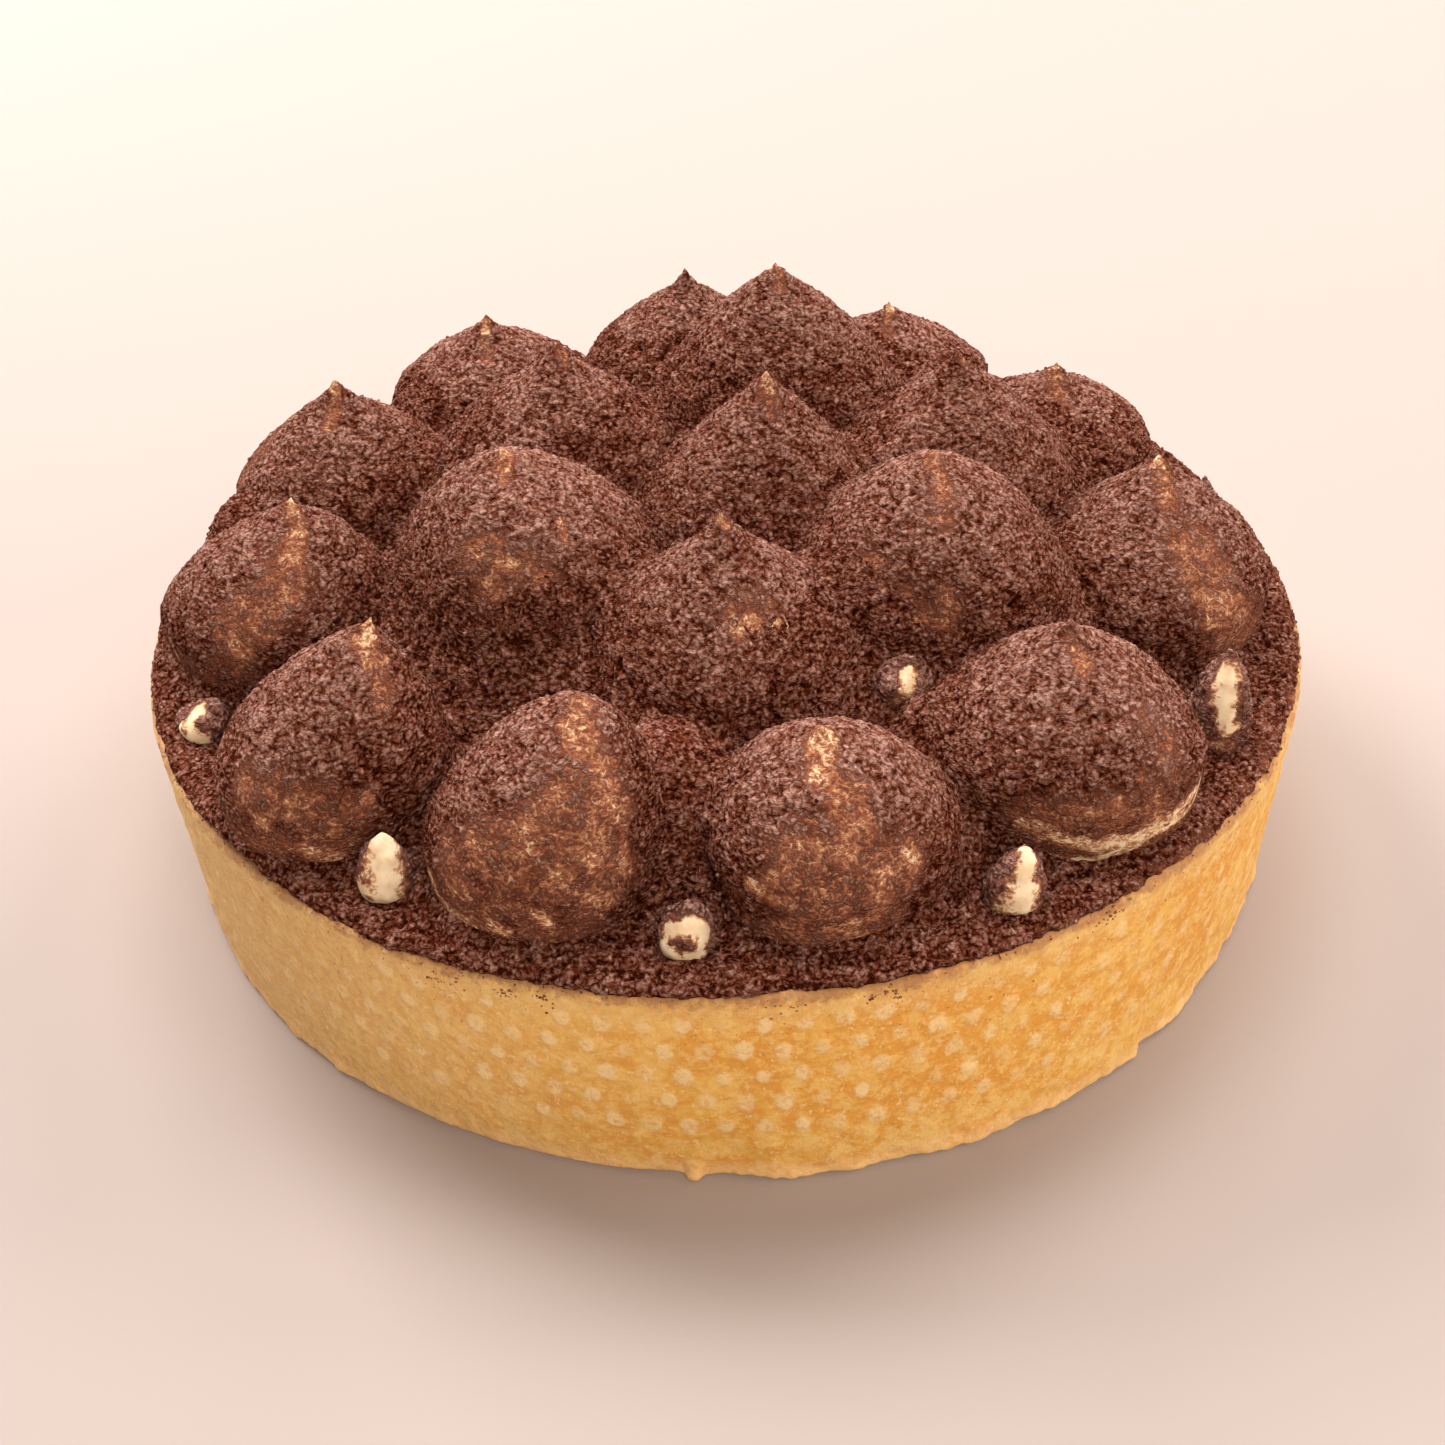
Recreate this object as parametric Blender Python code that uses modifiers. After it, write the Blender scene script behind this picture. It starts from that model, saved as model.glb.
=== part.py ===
"""Tiramisu tart: a shortcrust case, filled with cream and topped with piped cream kisses.

Lengths are metres, written as millimetres times MM. Z is up, the underside lies at z = 0, and the
front of the tart faces -Y. Turns are degrees round the axis, 0 at the front and growing towards +X.
"""
import math
from collections import namedtuple

import bmesh
import bpy
from mathutils import Vector

MM = 0.001
GAP = 0.3 * MM

# Pastry case
CASE_RADIUS_TOP = 90.0 * MM
CASE_RADIUS_BASE = 87.0 * MM
CASE_HEIGHT = 35.6 * MM
CASE_WALL = 5.0 * MM
CASE_FLOOR = 5.0 * MM
RIM_ROUND = 1.1 * MM
FOOT_ROUND = 0.9 * MM
CASE_STEPS = 84
RIM_WAVE = 0.45 * MM
SIDE_WAVE = 0.5 * MM
LIP = 0.9 * MM
LIP_START = 8.0
LIP_END = 42.0

# Cream inside the case: level near the rim, with a low mound in the middle
CREAM_LEVEL = 35.0 * MM
MOUND_RISE = 13.5 * MM
MOUND_FLAT = 36.0 * MM
MOUND_FOOT = 68.0 * MM
MOUND_RINGS = 9
CREAM_STEPS = 64

# Piped drops. The skin runs from the tip down to the widest ring, which lies seat radii above the
# cream that the drop stands on, and then curls in to a narrower foot. A larger shoulder is fuller.
Form = namedtuple("Form", "segments rings seat shoulder")
OUTER_FORM = Form(segments=22, rings=11, seat=0.56, shoulder=1.5)
INNER_FORM = Form(segments=22, rings=11, seat=0.15, shoulder=1.4)
DOT_FORM = Form(segments=12, rings=8, seat=0.9, shoulder=2.1)
TIP_CROWDING = 1.5
PEAK_HEIGHT = 2.4 * MM
PEAK_WIDTH = 1.7 * MM
PEAK_SHARE = 0.2
LUMP = 0.025
SOFTNESS = 1.4 * MM

# One row a drop: turn, distance from the axis, radius, height of the tip, how far the tip leans to
# +X and to +Y, and roundness, from 1.1 for a cone to 1.8 for a ball. Lengths are in millimetres.
OUTER_KISSES = (
    (-49.5, 73.0, 16.4, 66.0, 8.0, 2.5, 1.30),
    (-21.0, 69.8, 16.0, 65.0, 6.0, 2.5, 1.90),
    (11.0, 68.0, 17.0, 61.5, -1.0, 0.0, 1.75),
    (43.0, 68.0, 18.6, 63.5, 0.0, 1.5, 1.40),
    (83.0, 66.5, 17.8, 64.0, 0.0, 2.5, 1.20),
    (122.0, 66.5, 17.0, 58.5, 0.5, 0.0, 1.05),
    (152.5, 67.0, 17.0, 59.0, 0.0, 0.0, 1.05),
    (184.0, 66.5, 17.8, 63.0, 0.0, 0.0, 1.00),
    (215.0, 68.5, 18.0, 60.5, 0.0, 0.0, 1.10),
    (246.0, 68.0, 17.8, 64.0, 0.5, 0.0, 1.00),
    (277.5, 68.5, 17.2, 63.0, 4.0, 1.5, 1.35),
)
INNER_KISSES = (
    (0.0, 31.5, 19.0, 72.5, 0.0, 0.0, 0.95),
    (59.5, 36.0, 20.3, 73.5, -0.5, 0.0, 1.70),
    (110.0, 40.0, 19.0, 72.5, 0.0, 0.0, 1.10),
    (164.5, 39.0, 20.5, 77.0, 0.0, 0.0, 1.35),
    (230.0, 34.0, 19.5, 72.0, 1.5, 0.0, 1.05),
    (294.0, 31.5, 20.5, 73.0, -2.5, 0.0, 1.80),
)
CENTRE_KISS = (110.0, 6.5, 19.0, 76.0, 1.5, 0.0, 1.15)

# Small dots of cream in the same terms: one in each gap of the outer ring, and one further in
OUTER_DOTS = (
    (-35.0, 81.5, 3.7, 45.5, 0.4, 0.8, 1.6),
    (-4.7, 80.5, 3.6, 43.5, 1.0, 0.6, 1.6),
    (26.5, 82.5, 3.7, 45.5, 1.4, 0.6, 1.3),
    (60.5, 81.0, 4.2, 51.0, 0.8, 0.8, 1.5),
    (103.5, 82.0, 2.8, 45.0, 0.0, 0.0, 1.2),
    (138.0, 81.0, 3.8, 42.5, 0.5, -0.6, 1.5),
    (168.5, 81.0, 3.6, 44.0, -0.6, 0.4, 1.4),
    (199.5, 81.0, 4.0, 42.5, 0.6, 0.5, 1.6),
    (230.5, 80.5, 3.7, 44.5, 0.3, -0.8, 1.5),
    (262.0, 83.0, 3.3, 43.0, 0.0, 0.5, 1.2),
    (291.0, 83.0, 3.6, 41.5, 1.2, 0.8, 1.6),
)
INNER_DOTS = (
    (32.0, 47.0, 4.0, 52.5, 0.8, 0.5, 1.5),
)


def clear_scene():
    for old in list(bpy.context.scene.objects):
        bpy.data.objects.remove(old, do_unlink=True)


def make_material(name, colour, roughness):
    material = bpy.data.materials.new(name)
    material.use_nodes = True
    shader = material.node_tree.nodes["Principled BSDF"]
    shader.inputs["Base Color"].default_value = (*colour, 1.0)
    shader.inputs["Roughness"].default_value = roughness
    shader.inputs["Metallic"].default_value = 0.0
    return material


def make_object(name, mesh, material, collection):
    obj = bpy.data.objects.new(name, mesh)
    collection.objects.link(obj)
    mesh.materials.append(material)
    return obj


def smooth_step(value):
    value = min(max(value, 0.0), 1.0)
    return value * value * (3.0 - 2.0 * value)


def cream_height(distance):
    """Height of the cream's surface at a distance from the axis."""
    slope = smooth_step((MOUND_FOOT - distance) / (MOUND_FOOT - MOUND_FLAT))
    return CREAM_LEVEL + MOUND_RISE * slope


def ground_height(distance):
    """Height of what a drop stands on: the cream, or the rim of the case beyond it."""
    if distance > CASE_RADIUS_TOP - CASE_WALL - GAP:
        return CASE_HEIGHT + RIM_WAVE
    return cream_height(distance)


def turned(name, profile, steps, material, collection):
    """A closed shape turned round Z from a profile that starts and ends on the axis."""
    mesh = bpy.data.meshes.new(name)
    points = [(x, 0.0, z) for x, z in profile]
    edges = [(i, i + 1) for i in range(len(points) - 1)]
    mesh.from_pydata(points, edges, [])
    obj = make_object(name, mesh, material, collection)
    screw = obj.modifiers.new("Turn", "SCREW")
    screw.steps = steps
    screw.render_steps = steps
    screw.use_merge_vertices = True
    screw.merge_threshold = 0.00005
    return obj


def applied(obj):
    """Replace an object's mesh by the mesh that its modifiers make."""
    graph = bpy.context.evaluated_depsgraph_get()
    mesh = bpy.data.meshes.new_from_object(obj.evaluated_get(graph))
    obj.modifiers.clear()
    obj.data = mesh
    return mesh


def arc(centre_x, centre_z, radius, start, end, count):
    """Points on an arc in the profile's plane, angles in degrees from +X towards +Z."""
    angles = [math.radians(start + (end - start) * i / (count - 1)) for i in range(count)]
    return [(centre_x + radius * math.cos(a), centre_z + radius * math.sin(a)) for a in angles]


def build_case(material, collection):
    inner = CASE_RADIUS_TOP - CASE_WALL
    inner_base = CASE_RADIUS_BASE - CASE_WALL
    middle = 0.5 * CASE_HEIGHT
    profile = [(0.0, CASE_FLOOR), (inner_base, CASE_FLOOR), (inner, CASE_HEIGHT - RIM_ROUND)]
    profile += arc(inner + RIM_ROUND, CASE_HEIGHT - RIM_ROUND, RIM_ROUND, 150, 90, 2)
    profile += arc(CASE_RADIUS_TOP - RIM_ROUND, CASE_HEIGHT - RIM_ROUND, RIM_ROUND, 90, 0, 3)
    profile += [(0.5 * (CASE_RADIUS_TOP + CASE_RADIUS_BASE), middle)]
    profile += arc(CASE_RADIUS_BASE - FOOT_ROUND, FOOT_ROUND, FOOT_ROUND, 0, -90, 3)
    profile += [(0.0, 0.0)]
    case = turned("tart_case", profile, CASE_STEPS, material, collection)
    mesh = applied(case)
    for vertex in mesh.vertices:
        turn = math.atan2(vertex.co.x, -vertex.co.y)
        distance = math.hypot(vertex.co.x, vertex.co.y)
        height = vertex.co.z / CASE_HEIGHT
        if distance > inner_base + 0.5 * CASE_WALL:
            push = 1.0 + side_wave(turn, height) / distance
            vertex.co.x *= push
            vertex.co.y *= push
            vertex.co.z += RIM_WAVE * height ** 4 * rim_wave(turn)
    mesh.shade_smooth()
    mesh.set_sharp_from_angle(angle=math.radians(40))
    return case


def rim_wave(turn):
    return 0.6 * math.sin(3 * turn + 0.6) + 0.4 * math.sin(8 * turn + 2.1)


def side_wave(turn, height):
    """How far the outer wall stands out of true: most at the foot, with a lip at the front right."""
    wave = 0.7 * math.sin(2 * turn) + 0.3 * math.sin(5 * turn + 0.4)
    degrees = math.degrees(turn)
    lip = smooth_step((degrees - LIP_START) / 12.0) * smooth_step((LIP_END - degrees) / 3.0)
    low = 1.0 - height
    return SIDE_WAVE * wave * (0.25 + 0.75 * low) + LIP * lip * low ** 3


def build_cream(material, collection):
    floor = CASE_FLOOR + GAP
    lean = (CASE_RADIUS_TOP - CASE_RADIUS_BASE) / CASE_HEIGHT
    inner_base = CASE_RADIUS_BASE - CASE_WALL - 2 * GAP
    inner_top = inner_base + lean * (CREAM_LEVEL - floor)
    profile = [(0.0, cream_height(0.0))]
    for ring in range(MOUND_RINGS):
        distance = MOUND_FLAT + (MOUND_FOOT - MOUND_FLAT) * ring / (MOUND_RINGS - 1)
        profile.append((distance, cream_height(distance)))
    profile += [(inner_top, CREAM_LEVEL), (inner_base, floor), (0.0, floor)]
    cream = turned("cream_filling", profile, CREAM_STEPS, material, collection)
    cream.data.shade_smooth()
    return cream


class Piped:
    """One piped drop of cream: where it stands and how large it is."""

    def __init__(self, name, row, form):
        turn, distance, radius, tip, lean_x, lean_y, roundness = row
        self.name = name
        self.turn = math.radians(turn)
        self.x = distance * MM * math.sin(self.turn)
        self.y = -distance * MM * math.cos(self.turn)
        self.radius = radius * MM
        self.tip = tip * MM
        self.form = form
        self.widest = cream_height(distance * MM) + form.seat * self.radius
        self.lean = Vector((lean_x * MM, lean_y * MM))
        self.roundness = roundness
        self.walls = []

    def meet(self, other):
        """Note the flat where this drop and a neighbour press on each other."""
        offset = Vector((other.x - self.x, other.y - self.y))
        spacing = offset.length
        if spacing < self.radius + other.radius + GAP:
            reach = (spacing ** 2 + self.radius ** 2 - other.radius ** 2) / (2 * spacing)
            self.walls.append((offset / spacing, reach - 0.5 * GAP))

    def room(self, direction):
        """How far the body may reach in a direction before it meets a flat."""
        free = 10 * self.radius
        for normal, reach in self.walls:
            towards = direction.dot(normal)
            if towards > 0.01:
                free = min(free, reach / towards)
        return free

    def surface(self, polar, turn):
        """A point on the skin, before neighbours and the cream below press on it."""
        if polar < 0.5 * math.pi:
            across = math.sin(polar) ** TIP_CROWDING
            share = (1.0 - across ** self.roundness) ** (1.0 / self.form.shoulder)
            peak = min(PEAK_HEIGHT, PEAK_SHARE * self.radius)
            height = self.widest + (self.tip - peak - self.widest) * share
            height += peak * math.exp(-self.radius * across / PEAK_WIDTH)
        else:
            across = math.sin(polar)
            height = self.widest + self.radius * math.cos(polar)
        lump = LUMP * math.sin(2 * turn + 3 * self.turn)
        lump += LUMP * math.sin(3 * turn + 5 * self.turn)
        distance = self.radius * across * (1.0 + lump * across)
        bend = max(height - self.widest, 0.0) / (self.tip - self.widest)
        flat = Vector((distance * math.cos(turn), distance * math.sin(turn)))
        return flat + self.lean * bend ** 1.5, height

    def pressed(self, flat):
        """Keep a point clear of the neighbours' flats."""
        distance = flat.length
        if distance < 1e-9:
            return flat
        limit = self.room(flat / distance)
        if distance <= limit - SOFTNESS:
            return flat
        kept = limit - SOFTNESS * math.exp(-(distance - limit + SOFTNESS) / SOFTNESS)
        return flat * (kept / distance)

    def build(self, material, collection):
        mesh = bpy.data.meshes.new(self.name)
        shape = bmesh.new()
        bmesh.ops.create_uvsphere(
            shape, u_segments=self.form.segments, v_segments=self.form.rings, radius=1.0
        )
        for vertex in shape.verts:
            polar = math.acos(min(max(vertex.co.z, -1.0), 1.0))
            turn = math.atan2(vertex.co.y, vertex.co.x)
            flat, height = self.surface(polar, turn)
            flat = self.pressed(flat)
            x = self.x + flat.x
            y = self.y + flat.y
            vertex.co = (x, y, max(height, ground_height(math.hypot(x, y)) + GAP))
        shape.to_mesh(mesh)
        shape.free()
        mesh.shade_smooth()
        return make_object(self.name, mesh, material, collection)


def piped_drops():
    drops = []
    for label, rows, form in (
        ("kiss_outer", OUTER_KISSES, OUTER_FORM),
        ("kiss_inner", INNER_KISSES, INNER_FORM),
        ("dot_outer", OUTER_DOTS, DOT_FORM),
        ("dot_inner", INNER_DOTS, DOT_FORM),
    ):
        for number, row in enumerate(rows, start=1):
            drops.append(Piped(f"{label}_{number:02d}", row, form))
    drops.append(Piped("kiss_centre", CENTRE_KISS, INNER_FORM))
    for drop in drops:
        for other in drops:
            if other is not drop:
                drop.meet(other)
    return drops


def main():
    clear_scene()
    collection = bpy.data.collections.new("tiramisu_tart")
    bpy.context.scene.collection.children.link(collection)
    pastry = make_material("pastry", (0.76, 0.47, 0.17), 0.75)
    cream = make_material("cream", (0.86, 0.74, 0.55), 0.6)
    cocoa = make_material("cocoa", (0.11, 0.035, 0.02), 0.95)
    build_case(pastry, collection)
    build_cream(cream, collection)
    for drop in piped_drops():
        drop.build(cream if drop.name.startswith("dot") else cocoa, collection)


main()
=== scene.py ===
"""The looks of the tiramisu tart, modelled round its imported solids.

Lengths are metres, written as millimetres times MM. Z is up, the underside lies at z = 0, and the
front of the tart faces -Y. Turns are degrees round an axis, 0 at the front and growing towards +X.
"""
import math
from collections import namedtuple

import bmesh
import bpy
import numpy as np
from mathutils import Matrix, Vector


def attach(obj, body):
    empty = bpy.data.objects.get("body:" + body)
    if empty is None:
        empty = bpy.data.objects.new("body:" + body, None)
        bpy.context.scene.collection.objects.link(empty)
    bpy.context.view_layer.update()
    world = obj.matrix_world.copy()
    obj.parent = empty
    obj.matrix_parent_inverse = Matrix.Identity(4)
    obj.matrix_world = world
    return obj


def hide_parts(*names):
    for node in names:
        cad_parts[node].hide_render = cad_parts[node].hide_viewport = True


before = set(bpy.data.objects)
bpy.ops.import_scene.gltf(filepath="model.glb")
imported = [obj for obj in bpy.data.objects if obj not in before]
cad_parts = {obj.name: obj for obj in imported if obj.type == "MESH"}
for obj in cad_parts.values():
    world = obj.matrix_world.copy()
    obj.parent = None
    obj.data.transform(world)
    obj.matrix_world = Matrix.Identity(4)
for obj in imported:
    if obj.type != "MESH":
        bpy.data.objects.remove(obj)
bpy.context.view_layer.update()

scene = bpy.context.scene

MM = 0.001
SEED = 20

# The pastry case
TOP_RADIUS = 90 * MM
BASE_RADIUS = 87 * MM
CASE_HEIGHT = 35.6 * MM
CASE_WALL = 5 * MM
RIM_ROUND = 1.1 * MM
FOOT_ROUND = 0.9 * MM
RIM_LIFT = 0.2 * MM
RIM_WAVE = 0.45 * MM
SIDE_WAVE = 0.35 * MM
FOOT_RELIEF = 0.4 * MM
# A lip along the foot: how far it stands out, its first and last turn, and how it fades in and out
LIP = 1.3 * MM
LIP_START = -1
LIP_END = 42
LIP_IN = 4
LIP_OUT = 2
# How far the crust goes on out of sight, inside the case, and how wide the finer rim of its underside is
HIDDEN_DEPTH = 8 * MM
HIDDEN_SLANT = 2 * MM
UNDERSIDE_RIM = 6 * MM
# Bumps and dents low on the wall: turn, half of the width in degrees, and how far each stands out in mm
FOOT_BUMPS = (
    (-73, 4, 0.9), (-48.5, 1.3, 0.6), (-42, 1.6, 0.5), (-13, 1.5, 0.3), (-4.3, 0.9, 1.8),
    (13.5, 2.2, -0.7), (21.8, 1.6, 0.6), (46.5, 3, 1.3), (71, 3, 0.6), (112, 4, 0.8),
    (150, 3, 0.6), (204, 4, 0.7), (255, 3, 0.7),
)

# The cream inside the case: level near the rim, with a low mound in the middle
CREAM_LEVEL = 35 * MM
MOUND_RISE = 13.5 * MM
MOUND_FLAT = 36 * MM
MOUND_FOOT = 68 * MM

# Mesh fineness: the length of an edge
KISS_EDGE = 0.4 * MM
BED_EDGE = 0.44 * MM
CRUST_EDGE = 0.55 * MM
DOT_EDGE = 0.26 * MM
COARSE_EDGE = 0.9 * MM
UNDERSIDE_EDGE = 1.2 * MM
HIDDEN_EDGE = 4 * MM

# The piped drops, in the terms of the solids
Form = namedtuple("Form", "seat shoulder foot")
OUTER_FORM = Form(seat=0.56, shoulder=1.5, foot=0.6)
INNER_FORM = Form(seat=0.15, shoulder=1.4, foot=1)
DOT_FORM = Form(seat=0.9, shoulder=2.1, foot=1)
TIP_CROWDING = 1.5
PEAK_HEIGHT = 2.4 * MM
PEAK_WIDTH = 1.7 * MM
PEAK_SHARE = 0.2
LUMP = 0.025
SOFTNESS = 1.4 * MM
GAP = 0.3 * MM
# How far a drop's skin goes on below the cream, at most by this share of its radius
DROP_SINK = 1 * MM
DROP_LOWEST = 0.97
PROFILE_STEPS = 600

# One row a drop: turn, distance from the axis, radius, height of the tip, how far the tip leans to
# +X and to +Y, and roundness, from 1 for a cone to 2 for a ball. Lengths are in millimetres.
OUTER_KISSES = (
    (-49.5, 73, 16.4, 66, 8, 2.5, 1.3),
    (-21, 69.8, 16, 65, 6, 2.5, 1.9),
    (11, 68, 17, 61.5, -1, 0, 1.75),
    (43, 68, 18.6, 63.5, 0, 1.5, 1.4),
    (83, 66.5, 17.8, 64, 0, 2.5, 1.2),
    (122, 66.5, 17, 58.5, 0.5, 0, 1.05),
    (152.5, 67, 17, 59, 0, 0, 1.05),
    (184, 66.5, 17.8, 63, 0, 0, 1),
    (215, 68.5, 18, 60.5, 0, 0, 1.1),
    (246, 68, 17.8, 64, 0.5, 0, 1),
    (277.5, 68.5, 17.2, 63, 4, 1.5, 1.35),
)
INNER_KISSES = (
    (0, 31.5, 19, 72.5, 0, 0, 0.95),
    (59.5, 36, 20.3, 73.5, -0.5, 0, 1.7),
    (110, 40, 19, 72.5, 0, 0, 1.1),
    (164.5, 39, 20.5, 77, 0, 0, 1.35),
    (230, 34, 19.5, 72, 1.5, 0, 1.05),
    (294, 31.5, 20.5, 73, -2.5, 0, 1.8),
)
CENTRE_KISS = (110, 6.5, 19, 76, 1.5, 0, 1.15)
OUTER_DOTS = (
    (-35, 81.5, 3.7, 45.5, 0.4, 0.8, 1.6),
    (-4.7, 80.5, 3.6, 43.5, 1, 0.6, 1.6),
    (26.5, 82.5, 3.7, 45.5, 1.4, 0.6, 1.3),
    (60.5, 81, 4.2, 51, 0.8, 0.8, 1.5),
    (103.5, 82, 2.8, 45, 0, 0, 1.2),
    (138, 81, 3.8, 42.5, 0.5, -0.6, 1.5),
    (168.5, 81, 3.6, 44, -0.6, 0.4, 1.4),
    (199.5, 81, 4, 42.5, 0.6, 0.5, 1.6),
    (230.5, 80.5, 3.7, 44.5, 0.3, -0.8, 1.5),
    (262, 83, 3.3, 43, 0, 0.5, 1.2),
    (291, 83, 3.6, 41.5, 1.2, 0.8, 1.6),
)
INNER_DOTS = (
    (32, 47, 4, 52.5, 0.8, 0.5, 1.5),
)

# Where the cocoa lies thin on a drop, or the cream is bare. One row a stroke: half of its width in
# millimetres, thinness, 1 for bare, and the places it runs through, each as a turn from the drop's own
# front and an angle from its tip.
THIN = {
    "kiss_outer_01": (
        (1.9, 0.78, 28, 3, 16, 12), (2.1, 0.7, 20, 16, 38, 24), (2.2, 0.52, 42, 28, 42, 40),
        (5, 0.46, -40, 72, -16, 70, 8, 78), (3.5, 0.5, -28, 92, -8, 100, 12, 110),
        (1.2, 0.66, 24, 74, 20, 82), (1, 0.8, -28, 86, -24, 88), (1, 0.82, -8, 98, 0, 104, 8, 108),
    ),
    "kiss_outer_02": (
        (2.6, 0.66, 40, 5, 14, 16, 8, 26), (3.2, 0.58, 30, 34, 38, 48, 44, 58),
        (4.6, 0.52, 4, 48, -12, 58, -36, 66), (4.8, 0.52, 24, 58, 8, 70, -8, 76),
        (3.6, 0.52, 40, 74, 28, 86), (3.5, 0.5, -52, 72, -44, 82, -28, 90),
        (1.5, 0.74, -68, 94, -58, 102), (1.6, 0.74, -50, 104, -36, 106, -20, 102),
        (0.9, 0.7, 24, 70, 24, 72), (1, 0.7, 44, 70, 44, 80), (0.9, 0.68, -32, 72, -28, 74),
        (1, 0.76, 0, 88, 4, 96), (0.8, 0.66, -44, 66, -24, 64),
    ),
    "kiss_outer_03": (
        (2.4, 0.72, 0, 4, -14, 14, -16, 24), (2.9, 0.57, 0, 28, 18, 40, 20, 50),
        (3.4, 0.55, 16, 40, 8, 54), (4.4, 0.52, -20, 58, 8, 66, 36, 70),
        (4.4, 0.52, -20, 76, 0, 82, 24, 82), (1.2, 0.74, 44, 68, 36, 84),
        (1, 0.68, -40, 78, -32, 80, -20, 82), (0.9, 0.66, 24, 42, 28, 48), (0.9, 0.72, 4, 98, 20, 96),
    ),
    "kiss_outer_04": (
        (1.2, 0.54, -8, 8, 12, 16), (1.5, 0.56, 14, 18, 12, 28), (4.5, 0.38, 48, 52, 44, 72),
        (3.4, 0.5, -20, 92, 4, 86, 28, 82), (1.4, 0.82, -24, 96, -8, 102, 8, 106),
        (1.6, 0.88, 8, 106, 24, 104, 36, 98, 56, 96), (1.2, 0.95, -12, 116, 8, 116, 20, 112),
        (1.2, 0.92, 20, 112, 34, 106, 60, 102, 64, 94),
    ),
    "kiss_outer_05": (
        (1.6, 0.74, -20, 4, 4, 10), (2, 0.5, 4, 16, 10, 26), (5.5, 0.54, 20, 46, 26, 70, 40, 98),
        (0.9, 0.66, 20, 66, 20, 80), (0.8, 0.66, 28, 80, 32, 96), (3, 0.5, 32, 98, 48, 104),
    ),
    "kiss_outer_06": ((1.3, 0.72, -20, 3, -4, 10), (2, 0.44, -4, 14, 10, 30)),
    "kiss_outer_07": ((1, 0.7, 16, 4, -8, 14), (1.5, 0.46, -8, 20, -20, 30)),
    "kiss_outer_09": ((1, 0.68, -20, 4, -4, 12), (1.3, 0.5, -4, 18, 0, 28)),
    "kiss_outer_10": ((1, 0.72, 0, 3, 0, 8), (1.6, 0.58, -2, 14, -12, 26), (3.5, 0.4, -90, 50, -80, 70)),
    "kiss_outer_11": (
        (1.2, 0.76, 40, 3, 36, 10), (2, 0.62, 30, 18, 16, 30), (4.4, 0.5, 12, 38, 8, 50, -8, 60),
        (4.6, 0.48, -20, 60, -16, 76), (1, 0.68, 8, 48, 4, 56), (0.9, 0.66, -20, 64, -16, 72),
        (0.6, 0.86, -66, 92, -66, 108),
    ),
    "kiss_inner_01": (
        (1.1, 0.66, 0, 4, 40, 8), (4.2, 0.5, 20, 40, 24, 54), (1.5, 0.72, 12, 46, 24, 46, 40, 50),
        (1.2, 0.76, 28, 52, 24, 60), (1.2, 0.62, 12, 50, 16, 56),
    ),
    "kiss_inner_02": (
        (1.7, 0.72, -28, 3, -16, 8), (1.8, 0.52, 2, 12, 14, 20), (2.6, 0.44, 10, 26, 0, 36),
        (4.6, 0.48, -40, 62, -20, 68, -4, 68), (1.1, 0.86, -16, 76, -8, 80, -4, 80),
        (0.9, 0.92, 76, 90, 76, 94), (2.4, 0.44, -52, 64, -44, 54),
    ),
    "kiss_inner_03": ((1, 0.54, 56, 4, 56, 8),),
    "kiss_inner_04": ((1.2, 0.72, -12, 3, 0, 6), (1.4, 0.44, 0, 10, 10, 16)),
    "kiss_inner_05": ((1.2, 0.54, 40, 5, 40, 12),),
    "kiss_inner_06": (
        (1.5, 0.7, 12, 4, 4, 9), (1.7, 0.48, 2, 13, 0, 19), (5, 0.46, -20, 50, 8, 56),
        (4.6, 0.44, -8, 64, 8, 68), (0.9, 0.68, -28, 50, -12, 50, 0, 52), (1, 0.64, 40, 42, 36, 48),
        (1.2, 0.64, 12, 56, 8, 64), (1, 0.84, -16, 86, -12, 90, -4, 92),
    ),
    "kiss_centre": ((1.4, 0.78, 12, 4, 20, 8), (1.6, 0.5, 20, 12, 10, 20)),
    "dot_outer_01": ((3.4, 1, 20, 20, 6, 50, 8, 84, 4, 110), (1.5, 1, -50, 84, -44, 108)),
    "dot_outer_02": (
        (1.5, 1, -44, 56, 8, 46, 52, 62), (1.6, 1, 52, 62, 36, 92, -4, 106, -44, 92),
        (1, 1, -44, 56, -50, 84),
    ),
    "dot_outer_03": ((1.7, 1, 20, 8, 14, 40), (2.6, 1, 10, 62, 14, 94), (1.4, 0.84, -34, 92, -44, 104)),
    "dot_outer_04": ((2.3, 1, -12, 34, -10, 54), (1.7, 1, -6, 64, 4, 78), (1.6, 0.66, -10, 98, 6, 104)),
    "dot_outer_10": ((0.8, 1, -70, 10, -60, 60),),
    "dot_outer_11": ((1.4, 1, -44, 30, -40, 58, -16, 78), (1.6, 1, -60, 104, 12, 100)),
    "dot_inner_01": ((1.4, 1, -4, 40, 0, 70), (1.5, 0.62, -12, 100, 4, 104)),
}
# The usual ones, for the other drops, with turns from straight out of the tart
THIN_KISS = (
    (1, 0.74, 0, 5, 6, 14), (3, 0.46, -30, 66, 10, 74), (1.2, 0.7, 0, 98, 40, 102),
    (0.8, 0.66, -30, 84, -10, 88),
)
THIN_DOT = ((1.7, 1, 4, 56, 16, 92), (1.1, 0.9, -46, 78, -36, 100))
# In widths of a stroke: where it starts to fade, how far on it ends, and how frayed it is, a fine one more
STROKE_CORE = 0.3
STROKE_BORDER = 1.25
STROKE_FRAY = 0.2
STROKE_FRAY_FINE = 0.4
STROKE_STEPS = 8
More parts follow.
